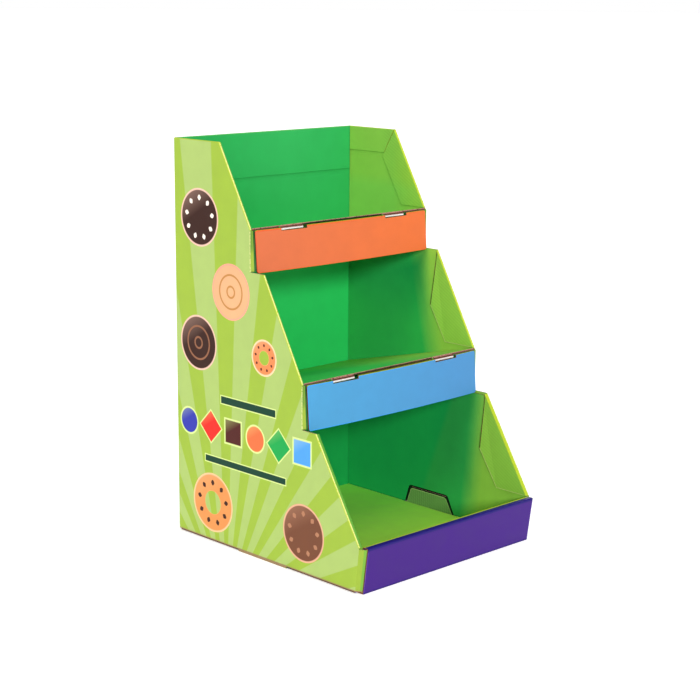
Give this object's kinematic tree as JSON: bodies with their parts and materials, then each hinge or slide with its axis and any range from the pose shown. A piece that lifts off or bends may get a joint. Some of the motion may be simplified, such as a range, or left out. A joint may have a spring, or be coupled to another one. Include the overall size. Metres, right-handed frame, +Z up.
{
  "type": "cardboard display stand",
  "caption": "Stepped counter display stand of folded cardboard, with sloping shelves behind coloured front lips and an open tray at the bottom.",
  "frame": {"origin": "centre of the stand's footprint, on the surface that it stands on", "axes": "+Z up, the open front faces -Y, +X across the width; the stand is the same left and right"},
  "size_m": [0.27, 0.3054, 0.45],
  "materials": {
    "shell_board": "satin",
    "tray_board": "satin",
    "shelf_board": "satin",
    "blue_board": "satin",
    "orange_board": "satin"
  },
  "bodies": {
    "root": {"outer_shell": "shell_board", "base_tray": "tray_board", "middle_shelf": "shelf_board", "top_shelf": "shelf_board", "middle_lip": "blue_board", "top_lip": "orange_board"}
  },
  "joints": []
}
